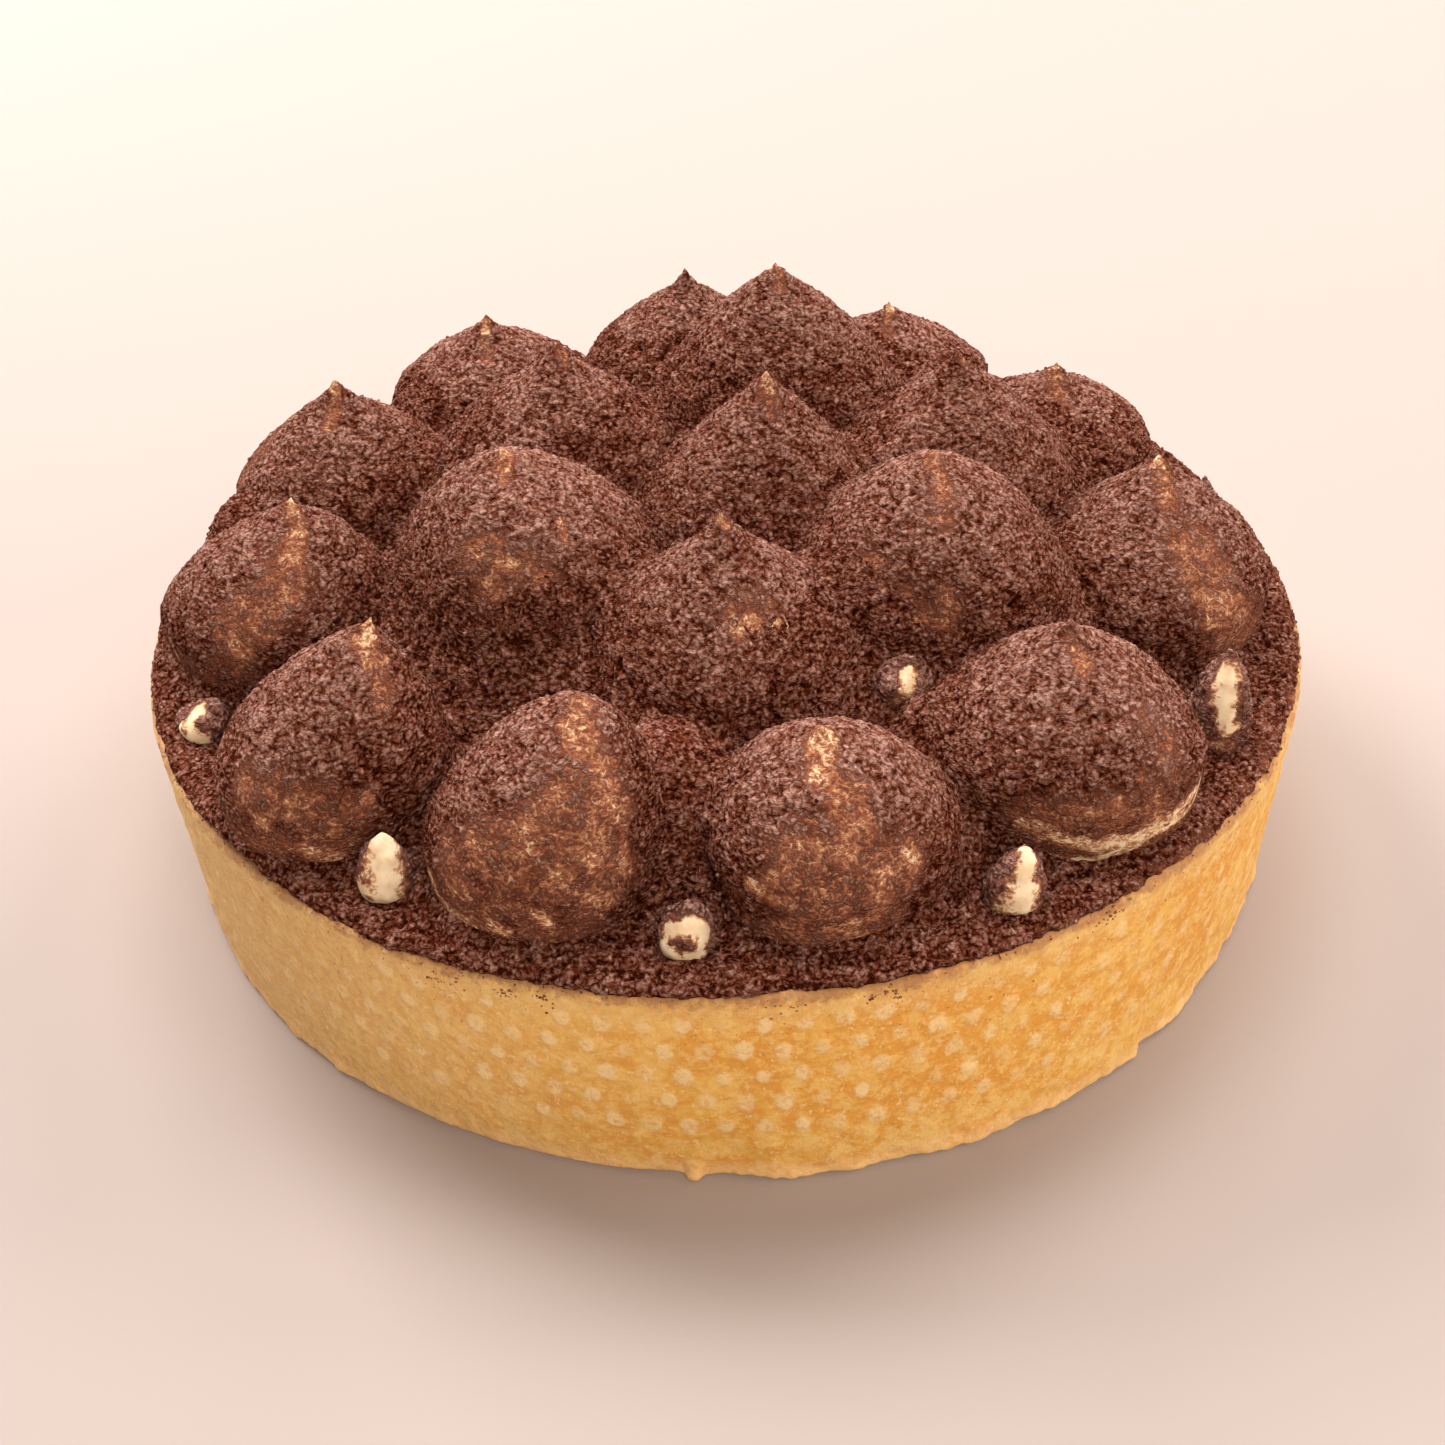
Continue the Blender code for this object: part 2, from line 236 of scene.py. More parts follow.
# Where a lower flank carries only a film of cocoa: first and last turn, and thinness
FILMS = {
    "kiss_outer_01": (-80, 40, 0.44), "kiss_outer_02": (-100, 46, 0.47), "kiss_outer_03": (-62, 44, 0.47),
    "kiss_outer_04": (-45, 80, 0.46), "kiss_outer_05": (4, 90, 0.44), "kiss_outer_11": (-90, 20, 0.42),
}
# The film on the outward flanks of other kisses, in the outer ring and further in
FILM_OUTER = 0.4
FILM_INNER = 0.15

# The bed of cocoa: how thick it lies, and how softly it fills the valleys between the kisses
BED_ON_CREAM = 1.2 * MM
BED_ON_RIM = 0.9 * MM
RIM_START = 82.5 * MM
RIM_RUN = 3 * MM
FILL_FRONT = 2.4 * MM
FILL_BACK = 3.1 * MM
FILL_OUTSIDE = 0.5 * MM
FILL_START = 66 * MM
FILL_END = 81 * MM
# At the back it also runs from the outer kisses down to the rim
BACK_START = 5 * MM
BACK_END = 30 * MM
BACK_OUTWARD = 5.5 * MM
# From the front to the back it fills the valleys more and more
BEHIND_START = -20 * MM
BEHIND_RUN = 60 * MM
# Heaps between the kisses: place, height, and the radius where they are HEAP_DROP lower, in millimetres
HEAPS = ((-9.5, -57, 53, 9), (30, -48, 50, 8), (-79, 15, 49, 9))
HEAP_DROP = 5 * MM
HEAP_BLEND = 1.5 * MM
HEAP_END = 80 * MM
HEAP_RUN = 9 * MM
# How steeply the bed falls away beyond a kiss's own radius
SKIRT_SLOPE = 1.6
# How high and how far out it climbs at the foot of a kiss, at this share of the radius
LAP = 3.6 * MM
LAP_BACK = 1.5 * MM
LAP_WIDTH = 2.2 * MM
LAP_FOOT = 0.9
# Turns between which it hardly climbs there
TRENCH_START = 22
TRENCH_END = 112
TRENCH_FADE = 12
TRENCH_DEPTH = 0.8
# It lies this much below a kiss that it doesn't cover, and dives so many times deeper further in
BED_DIP = 0.15 * MM
BED_DIVE = 8
# Where the kisses hide it: so far inside a kiss, and so far below its skin
COVER_INSET = 1.5 * MM
COVER_DEPTH = 1.3 * MM
# Its outer edge: radius, height, rounding and waves
BED_EDGE_RADIUS = 89.2 * MM
BED_DROP = 1 * MM
BED_SHOULDER = 0.6 * MM
BED_ROUNDING = 1.7 * MM
BED_WAVE = 0.7 * MM
BED_WAVE_RUN = 2.5 * MM
# The size of the cocoa's clumps, and how high they stand on a kiss, on the bed and on thin spots
CLUMP = 1.15 * MM
CLUMP_RELIEF = 0.68 * MM
BED_RELIEF = 0.95 * MM
THIN_RELIEF = 0.1 * MM

# Loose grains of cocoa: their radius, how rough and how stretched they are, and for the bed and each
# kiss how many there are, how rare large ones are, how far out they lie in their own sizes, and the
# least cocoa under them
GRAIN_SMALL = 0.15 * MM
GRAIN_LARGE = 0.4 * MM
GRAIN_ROUGH = 0.35
GRAIN_STRETCH = 0.5
BED_GRAINS = (3400, 2, 0.3, 0)
KISS_GRAINS = (150, 3, 0.2, 0.8)
# Grains strewn along the edge of the crust and down its wall: how many, how far down and how large
EDGE_GRAINS = 700
EDGE_FALL = 0.8 * MM
WALL_GRAINS = 260
WALL_START = 1.5 * MM
WALL_FALL = 6 * MM
WALL_SIZE = 0.45
STREWN_DUST = 0.4
# Spills over the edge: turn and number of grains, how far they spread aside and down, and their size
SPILLS = ((-25.5, 30), (-19.5, 60), (-17, 30), (3.5, 40), (12, 40), (33, 24))
SPILL_TURN = 1.1
SPILL_START = 1.2 * MM
SPILL_FALL = 1.2 * MM
SPILL_SIZE = 0.8

# The crust's print: the ring's holes leave pale round spots in staggered rows
PRINT_COLUMNS = 108
PRINT_START = 0.4
PRINT_ROWS = 5.07 * MM
PRINT_LOWEST = 10.8 * MM
PRINT_COUNT = 5
PRINT_HALF_WIDTH = 1.35 * MM
PRINT_HALF_HEIGHT = 1.8 * MM
PRINT_RELIEF = 0.06 * MM
# How much the spots vary in place, size and strength
PRINT_SHIFT = 0.2 * MM
PRINT_SIZES = 0.14
PRINT_STRENGTHS = 0.22
# How much fainter they are at the right and at the left, and the least that a patch of wall shows
PRINT_FAINT_RIGHT = 0.34
PRINT_FAINT_LEFT = 0.42
PRINT_LEAST = 0.42

# Colours. FILM goes from no cocoa to a thick film, COCOA_PAINTED_SHADE_TO_LIGHT from the pits of thick cocoa
# to its crests: near black in the pits as painted shade, pale and pinkish on the crests as painted light.
CREAM_WHITE = (0.9, 0.71, 0.48)
CREAM_SHADE = (0.8, 0.56, 0.33)
FILM_FLECK = (0.62, 0.35, 0.225)
FILM = (
    (0, CREAM_WHITE), (0.05, (0.84, 0.6, 0.37)), (0.15, (0.58, 0.31, 0.155)), (0.3, (0.375, 0.145, 0.074)),
    (0.46, (0.265, 0.085, 0.045)), (0.64, (0.175, 0.052, 0.028)), (1, (0.105, 0.03, 0.016)),
)
COCOA_PAINTED_SHADE_TO_LIGHT = (
    (0, (0.022, 0.0028, 0.0006)), (0.2, (0.078, 0.0122, 0.0038)), (0.44, (0.188, 0.053, 0.0275)),
    (0.72, (0.335, 0.152, 0.112)), (1, (0.545, 0.298, 0.228)),
)
CRUST_GOLD = (0.79, 0.43, 0.086)
CRUST_PALE = (0.76, 0.5, 0.215)
CRUST_LIGHT = (0.88, 0.56, 0.185)
CRUST_ORANGE = (0.74, 0.33, 0.052)
CRUST_BROWN = (0.3, 0.105, 0.045)
# The foot colour is the foot's own pale tone, lifted further by painted bounce light from the floor
CRUST_FOOT_AND_BOUNCE_LIGHT = (0.96, 0.59, 0.27)
PRINT_PALE = (0.88, 0.62, 0.3)
FLOOR_COLOUR = (0.4, 0.335, 0.305)
# How deep the bumps are, and how rough and glossy the surfaces
COCOA_BUMP = 0.9 * MM
COCOA_ROUGHNESS = 0.88
COCOA_GLOSS = 0.02
CREAM_GLOSS = 0.25
CRUST_BUMP = 0.32 * MM
CRUST_ROUGHNESS = 0.72
CRUST_GLOSS = 0.3
FLOOR_ROUGHNESS = 0.9
FLOOR_GLOSS = 0.05

# The camera, fitted to the round rim and foot in the photograph: degrees above the floor and of roll,
# the point it looks at in millimetres, distance and focal length
CAMERA_RISE = 36.75
CAMERA_ROLL = -1.99
CAMERA_TARGET = (-0.74, 0, 12.62)
CAMERA_DISTANCE = 360 * MM
CAMERA_LENS = 54.05
# Round lights that face the origin: name, place, watts and colour
LIGHT_SIZE = 0.7
LIGHTS = (
    ("left window", (-0.68, 0.7, 0.78), 22, (1, 0.96, 0.94)),
    ("window", (0.68, 0.7, 0.78), 11, (1, 0.96, 0.94)),
    ("high", (0, 0.42, 1.18), 11, (1, 0.96, 0.94)),
    ("right", (1.16, -0.05, 0.45), 6.5, (1, 0.95, 0.9)),
    ("front", (0.2, -0.97, 0.76), 9.8, (1, 0.91, 0.8)),
)
WORLD_COLOUR = (1, 0.9, 0.84)
WORLD_STRENGTH = 0.13
FLOOR_HALF = 2.5
FLOOR_DROP = 0.1 * MM

# Layers of noise: weight, and size of the features in millimetres
CRUMB_LAYERS = ((0.16, 2.6), (0.1, 1.2))
FOOT_LAYERS = ((1, 4.5), (0.6, 1.8))
BED_LAYERS = ((0.5, 9), (0.35, 4))
BED_FINE_LAYERS = ((0.28, 2.2),)
BED_EDGE_LAYERS = ((0.6, 11), (0.6, 2.6))
KISS_LAYERS = ((0.25, 8),)
KISS_RAGGED = ((1, 2.4), (0.7, 1))
KISS_PATCHES = ((0.2, 2.8),)
DOT_LAYERS = ((0.34, 2.4),)
DOT_RAGGED = ((1, 1.5), (0.5, 0.7))


def smooth(value):
    """From 0 to 1 with a gentle start and end, as value goes from 0 to 1."""
    value = np.clip(value, 0.0, 1.0)
    return value * value * (3.0 - 2.0 * value)


def hashed(cell, seed):
    """Three repeatable numbers from 0 to 1 for each whole-number cell of a grid."""
    key = cell[:, 0] * 73856093 ^ cell[:, 1] * 19349663 ^ cell[:, 2] * 83492791
    key = (key ^ seed * 40503) & 0xFFFFFFFF
    key = (key ^ key >> 15) * 2246822519 & 0xFFFFFFFF
    key = (key ^ key >> 13) * 3266489917 & 0xFFFFFFFF
    key ^= key >> 16
    return np.stack([key & 1023, key >> 10 & 1023, key >> 20 & 1023], axis=1) / 1023.0


def noise(points, size, seed):
    """Smooth gradient noise, about -1 to 1, with features of one size."""
    scaled = points / size
    cell = np.floor(scaled).astype(np.int64)
    part = scaled - cell
    ease = part ** 3 * (part * (part * 6 - 15) + 10)
    total = np.zeros(len(points))
    for corner in np.ndindex(2, 2, 2):
        offset = np.array(corner)
        slope = hashed(cell + offset, seed) * 2.0 - 1.0
        weight = np.prod(np.where(offset, ease, 1.0 - ease), axis=1)
        total += weight * np.sum(slope * (part - offset), axis=1)
    return total * 1.6


def layered(points, seed, layers):
    """The sum of layers of noise."""
    return sum(weight * noise(points, size * MM, SEED + seed + i) for i, (weight, size) in enumerate(layers))


def cells(points, size, seed):
    """Distance to the nearest and to the second nearest of scattered centres, in cell sizes."""
    scaled = points / size
    cell = np.floor(scaled).astype(np.int64)
    first = np.full(len(points), 9.0)
    second = np.full(len(points), 9.0)
    for corner in np.ndindex(3, 3, 3):
        near = cell + np.array(corner) - 1
        apart = np.linalg.norm(near + hashed(near, seed) - scaled, axis=1)
        second = np.minimum(second, np.maximum(first, apart))
        first = np.minimum(first, apart)
    return first, second


def clumps(points):
    """The cocoa's relief, 0 in the pits and 1 on the crests: clumps of many heights and short worms."""
    warp = np.stack([noise(points, 1.7 * CLUMP, SEED + i) for i in range(3)], axis=1)
    moved = points + 0.45 * CLUMP * warp
    first, second = cells(moved, CLUMP, SEED + 3)
    grains = np.clip((second - first) * 1.8, 0.0, 1.0) ** 0.7
    worms = 1.0 - np.clip(np.abs(noise(moved, 1.1 * CLUMP, SEED + 4)) * 2.8, 0.0, 1.0)
    broad = noise(points, 2.4 * CLUMP, SEED + 5)
    return np.clip(0.40 * grains + 0.42 * worms + 0.38 * broad + 0.08, 0.0, 1.0)


def cream_height(distance):
    slope = smooth((MOUND_FOOT - distance) / (MOUND_FOOT - MOUND_FLAT))
    return CREAM_LEVEL + MOUND_RISE * slope


def ringed(counts):
    """Triangles that join rings of vertices, each ring a whole turn with its own number of them."""
    starts = np.concatenate([[0], np.cumsum(counts)])
    found = []
    for ring in range(len(counts) - 1):
        a = counts[ring]
        b = counts[ring + 1]
        steps = [np.arange(1, count + 1) / count if count > 1 else np.zeros(0) for count in (a, b)]
        order = np.argsort(np.concatenate(steps), kind="stable")
        on_a = order < len(steps[0])
        i = np.cumsum(on_a) - on_a
        j = np.cumsum(~on_a) - ~on_a
        here = starts[ring] + i % a
        below = starts[ring + 1] + j % b
        ahead = np.where(on_a, starts[ring] + (i + 1) % a, starts[ring + 1] + (j + 1) % b)
        found.append(np.stack([here, below, ahead], axis=1))
    return np.concatenate(found)


def ring_counts(radii, edge):
    return np.maximum(np.round(2 * math.pi * radii / edge), 1).astype(int)


def round_rings(counts):
    """The ring and the angle of every vertex of a stack of rings."""
    ring = np.repeat(np.arange(len(counts)), counts)
    angle = np.concatenate([np.arange(count) * (2 * math.pi / count) for count in counts])
    return ring, angle


def vertex_normals(points, triangles):
    a, b, c = (points[triangles[:, i]] for i in range(3))
    face = np.cross(b - a, c - a)
    total = np.zeros_like(points)
    for corner in range(3):
        for axis in range(3):
            total[:, axis] += np.bincount(triangles[:, corner], face[:, axis], len(points))
    return total / np.maximum(np.linalg.norm(total, axis=1), 1e-20)[:, None]


def make_piece(name, points, triangles, values, material, replaced):
    """A mesh piece with a number for each vertex under each name in values."""
    mesh = bpy.data.meshes.new(name)
    mesh.vertices.add(len(points))
    points = points.astype(np.float32)
    mesh.vertices.foreach_set("co", points.ravel())
    mesh.loops.add(3 * len(triangles))
    mesh.loops.foreach_set("vertex_index", triangles.astype(np.int32).ravel())
    mesh.polygons.add(len(triangles))
    mesh.polygons.foreach_set("loop_start", np.arange(0, 3 * len(triangles), 3, dtype=np.int32))
    mesh.update(calc_edges=True)
    for key, numbers in values.items():
        attribute = mesh.attributes.new(key, "FLOAT", "POINT")
        attribute.data.foreach_set("value", numbers.astype(np.float32))
    mesh.shade_smooth()
    mesh.materials.append(material)
    obj = bpy.data.objects.new(name, mesh)
    scene.collection.objects.link(obj)
    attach(obj, "root")
    if replaced:
        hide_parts(replaced)
    return points.astype(float), triangles, values


class Piped:
    """One piped drop of cream, shaped as its solid is."""

    def __init__(self, node, row, form):
        turn, distance, radius, tip, lean_x, lean_y, roundness = row
        self.node = node
        self.turn = math.radians(turn)
        self.distance = distance * MM
        self.x = self.distance * math.sin(self.turn)
        self.y = -self.distance * math.cos(self.turn)
        self.radius = radius * MM
        self.tip = tip * MM
        self.form = form
        self.widest = float(cream_height(self.distance)) + form.seat * self.radius
        self.lean = np.array((lean_x, lean_y)) * MM
        self.roundness = roundness
        self.walls = []

    def meet(self, other):
        offset = np.array((other.x - self.x, other.y - self.y))
        spacing = np.linalg.norm(offset)
        if spacing < self.radius + other.radius + GAP:
            reach = (spacing ** 2 + self.radius ** 2 - other.radius ** 2) / (2 * spacing)
            self.walls.append((offset / spacing, reach - 0.5 * GAP))

    def room(self, direction):
        """How far the body may reach in each direction before it meets a neighbour."""
        free = np.full(len(direction), 10 * self.radius)
        for normal, reach in self.walls:
            towards = direction @ normal
            free = np.where(towards > 0.01, np.minimum(free, reach / np.maximum(towards, 0.01)), free)
        return free

    def upper(self, across):
        """Height of the skin above the widest ring, at a share of the radius."""
        share = np.clip(1.0 - across ** self.roundness, 0.0, 1.0) ** (1.0 / self.form.shoulder)
        peak = min(PEAK_HEIGHT, PEAK_SHARE * self.radius)
        height = self.widest + (self.tip - peak - self.widest) * share
        return height + peak * np.exp(-self.radius * across / PEAK_WIDTH)

    def profile(self, polar):
        sine = np.sin(polar)
        above = polar < 0.5 * math.pi
        across = np.where(above, sine ** TIP_CROWDING, sine ** self.form.foot)
        height = np.where(above, self.upper(across), self.widest + self.radius * np.cos(polar))
        return across, height

    def skin(self, polar, turn):
        across, height = self.profile(polar)
        lump = LUMP * (np.sin(2 * turn + 3 * self.turn) + np.sin(3 * turn + 5 * self.turn))
        distance = self.radius * across * (1.0 + lump * across)
        bend = np.maximum(height - self.widest, 0.0) / (self.tip - self.widest)
        flat = distance[:, None] * np.stack([np.cos(turn), np.sin(turn)], axis=1)
        flat = self.pressed(flat + self.lean * bend[:, None] ** 1.5)
        return np.column_stack([self.x + flat[:, 0], self.y + flat[:, 1], height])

    def pressed(self, flat):
        distance = np.maximum(np.linalg.norm(flat, axis=1), 1e-9)
        limit = self.room(flat / distance[:, None])
        over = np.maximum(distance - limit + SOFTNESS, 0.0)
        kept = limit - SOFTNESS * np.exp(-over / SOFTNESS)
        kept = np.where(over > 0, kept, distance)
        return flat * (kept / distance)[:, None]

    def rings(self, edge):
        """Polar angles of rings an edge apart along the skin, from the tip to below the bed."""
        lowest = float(cream_height(self.distance + self.radius)) - DROP_SINK
        last = math.acos(-min((self.widest - lowest) / self.radius, DROP_LOWEST))
        polar = np.linspace(0.0, last, PROFILE_STEPS)
        across, height = self.profile(polar)
        run = np.hypot(np.diff(across * self.radius), np.diff(height))
        length = np.concatenate([[0.0], np.cumsum(run)])
        count = int(length[-1] / edge) + 1
        return np.interp(np.linspace(0.0, length[-1], count), length, polar)

    def mesh(self, edge):
        polar = self.rings(edge)
        across, _ = self.profile(polar)
        counts = np.maximum(ring_counts(across * self.radius, edge), 6)
        counts[0] = 1
        counts = np.append(counts, 1)
        ring, turn = round_rings(counts)
        polar = np.append(polar, math.pi)
        points = self.skin(polar[ring], turn)
        points[-1] = points[-counts[-2] - 1:-1].mean(axis=0)
        return points, ringed(counts)

    def cover(self, x, y):
        """Height of the upper skin over points of the plan, falling away as a skirt beyond it."""
        flat = np.column_stack([x - self.x, y - self.y])
        centre = np.zeros_like(flat)
        for _ in range(4):
            distance = np.linalg.norm(flat - centre, axis=1)
            skin = self.upper(np.clip(distance / self.radius, 0.0, 1.0))
            bend = np.clip((skin - self.widest) / (self.tip - self.widest), 0.0, 1.0)
            centre = self.lean * (bend ** 1.5)[:, None]
        return skin - SKIRT_SLOPE * np.maximum(distance - self.radius, 0.0)

    def thinness(self, points, usual, ragged):
        """How thin the cocoa lies at points of the skin, by its own strokes or else the usual ones."""
        start = 0.0 if self.node in THIN else math.degrees(self.turn)
        missed = np.ones(len(points))
        total = np.zeros(len(points))
        weight = np.full(len(points), 1e-6)
        for size, most, *places in THIN.get(self.node, usual):
            turns = np.radians(np.array(places[::2]) + start - 90.0)
            polars = np.radians(places[1::2])
            knots = np.arange(len(turns))
            run = np.linspace(0.0, knots[-1], STROKE_STEPS * knots[-1] + 1)
            line = self.skin(np.interp(run, knots, polars), np.interp(run, knots, turns))
            near = np.min([np.linalg.norm(points - place, axis=1) for place in line], axis=0)
            away = near / (size * MM) + (STROKE_FRAY + STROKE_FRAY_FINE / size) * ragged
            share = 1.0 - smooth((away - STROKE_CORE) / STROKE_BORDER)
            missed *= 1.0 - share
            total += share * most ** 2
            weight += share * most
        return (1.0 - missed) * total / weight


def piped(label, rows, form):
    return [Piped(f"{label}_{number:02d}", row, form) for number, row in enumerate(rows, start=1)]


def all_drops():
    kisses = piped("kiss_outer", OUTER_KISSES, OUTER_FORM) + piped("kiss_inner", INNER_KISSES, INNER_FORM)
    kisses.append(Piped("kiss_centre", CENTRE_KISS, INNER_FORM))
    dots = piped("dot_outer", OUTER_DOTS, DOT_FORM) + piped("dot_inner", INNER_DOTS, DOT_FORM)
    for drop in kisses + dots:
        for other in kisses + dots:
            if other is not drop:
                drop.meet(other)
    return kisses, dots


class Graph:
    """Short ways to add shader nodes to one material."""

    def __init__(self, name):
        self.material = bpy.data.materials.new(name)
        self.material.use_nodes = True
        self.tree = self.material.node_tree
        self.shader = self.tree.nodes["Principled BSDF"]

    def put(self, socket, value):
        if isinstance(value, bpy.types.NodeSocket):
            self.tree.links.new(value, socket)
        elif socket.type == "RGBA":
            socket.default_value = (*value, 1.0)
        else:
            socket.default_value = value

    def node(self, kind, inputs, **settings):
        """A new node with its settings, and with its inputs by name or number."""
        made = self.tree.nodes.new(f"ShaderNode{kind}")
        for key, value in settings.items():
            setattr(made, key, value)
        for key, value in inputs.items():
            self.put(made.inputs[key], value)
        return made

    def value(self, name):
        return self.node("Attribute", {}, attribute_name=name).outputs["Fac"]

    def math(self, kind, a, b):
        return self.node("Math", {0: a, 1: b}, operation=kind).outputs[0]

    def plus(self, a, b):
        return self.math("ADD", a, b)

    def centred(self, value):
        return self.math("SUBTRACT", value, 0.5)

    def times(self, *values):
        product = values[0]
        for value in values[1:]:
            product = self.math("MULTIPLY", product, value)
        return product

    def weighed(self, *pairs):
        """The sum of values, each times its weight."""
        total = self.times(*pairs[0])
        for pair in pairs[1:]:
            total = self.plus(total, self.times(*pair))
        return total

    def fade(self, value, low, high):
        """0 below low and 1 above high, with a smooth change between."""
        inputs = {"Value": value, "From Min": low, "From Max": high}
        return self.node("MapRange", inputs, interpolation_type="SMOOTHSTEP").outputs["Result"]

    def vector(self, kind, a, b):
        inputs = {0: a, "Scale" if kind == "SCALE" else 1: b}
        return self.node("VectorMath", inputs, operation=kind).outputs[0]

    def place(self):
        return self.node("TexCoord", {}).outputs["Object"]

    def noise(self, size, detail=2.0, roughness=0.5, place=None, output="Fac"):
        inputs = {"Vector": place or self.place(), "Scale": 1.0 / size}
        inputs.update({"Detail": detail, "Roughness": roughness})
        return self.node("TexNoise", inputs).outputs[output]

    def warped(self, size, amount):
        """Places shifted to and fro by noise, so that what is drawn at them is uneven."""
        centred = self.vector("SUBTRACT", self.noise(size, 1.0, output="Color"), (0.5, 0.5, 0.5))
        return self.vector("ADD", self.place(), self.vector("SCALE", centred, 2.0 * amount))

    def grains(self, size, place):
        """1 in the middle of each of many packed grains, 0 in the gaps between them."""
        made = self.node("TexVoronoi", {"Vector": place, "Scale": 1.0 / size})
        return self.fade(made.outputs["Distance"], 0.86, 0.16)

    def ramp(self, value, stops):
        made = self.node("ValToRGB", {0: value})
        elements = made.color_ramp.elements
        while len(elements) < len(stops):
            elements.new(0.5)
        for element, (position, colour) in zip(elements, stops):
            element.position = position
            element.color = (*colour, 1.0)
        return made.outputs["Color"]

    def mix(self, share, a, b):
        return self.node("Mix", {0: share, 6: a, 7: b}, data_type="RGBA").outputs[2]

    def finish(self, colour, roughness, gloss, rise=None, depth=0.0):
        """Set the shader, with a bump of the given depth where rise goes from 0 to 1."""
        inputs = {"Base Color": colour, "Roughness": roughness, "Specular IOR Level": gloss}
        if rise is not None:
            inputs["Normal"] = self.node("Bump", {"Height": rise, "Distance": depth}).outputs["Normal"]
        for key, value in inputs.items():
            self.put(self.shader.inputs[key], value)
        return self.material


def dusted_material(name, gloss):
    """Cream under cocoa: dust is how much lies there, relief how high, and powder how much it is lightened,
    on the kisses and drops as painted top light on faces that look up.
    """
    g = Graph(name)
    dust = g.value("dust")
    relief = g.value("relief")
    powder_and_painted_top_light = g.value("powder_and_painted_top_light")
    place = g.warped(1.3 * MM, 0.50 * MM)
    flat = g.vector("MULTIPLY", place, (1.0, 1.0, 1.7))
    grains = g.centred(g.grains(0.82 * MM, flat))
    fine = g.centred(g.noise(0.34 * MM, 2.0, 0.6, flat))
    clump = g.centred(g.noise(0.80 * MM, 1.5, 0.5, flat))
    patch = g.centred(g.noise(1.8 * MM, 2.0, 0.5, place))
    scatter = g.weighed((clump, 1.1), (fine, 0.8), (patch, 0.9))
    thick = g.fade(g.plus(dust, g.times(scatter, 0.6)), 0.50, 0.80)

    # A film of cocoa, with flecks of cream in it and bare cream where there is none
    grainy = g.weighed((fine, 0.95), (grains, 0.32), (clump, 0.85), (patch, 0.45))
    cover = g.plus(dust, g.times(grainy, g.fade(dust, -0.12, 0.30), 0.85))
    bare = g.mix(g.fade(g.noise(2.2 * MM), 0.40, 0.66), CREAM_WHITE, CREAM_SHADE)
    film = g.mix(g.fade(cover, 0.02, 0.08), bare, g.ramp(cover, FILM))
    flecks = g.fade(g.noise(0.58 * MM, 2.0, 0.6, place), 0.55, 0.63)
    flecks = g.times(flecks, g.fade(patch, -0.16, 0.10), g.fade(dust, 0.90, 0.45), 0.70)
    film = g.mix(flecks, film, g.mix(g.fade(dust, 0.46, 0.26), FILM_FLECK, CREAM_WHITE))

    # Thick cocoa, with painted shade in its pits and painted light on its crests, and lighter where powder
    # is set, which on the kisses and drops is painted top light
    height = g.weighed((grains, 0.50), (clump, 1.0), (fine, 1.0), (patch, 0.5), (g.centred(relief), 0.45))
    height = g.plus(height, 0.44)
    crust = g.ramp(g.plus(height, g.times(powder_and_painted_top_light, 0.22)), COCOA_PAINTED_SHADE_TO_LIGHT)
    rise = g.times(height, g.weighed((g.fade(dust, -0.1, 0.6), 0.50), (thick, 0.50)))
    return g.finish(g.mix(thick, film, crust), COCOA_ROUGHNESS, gloss, rise, COCOA_BUMP)


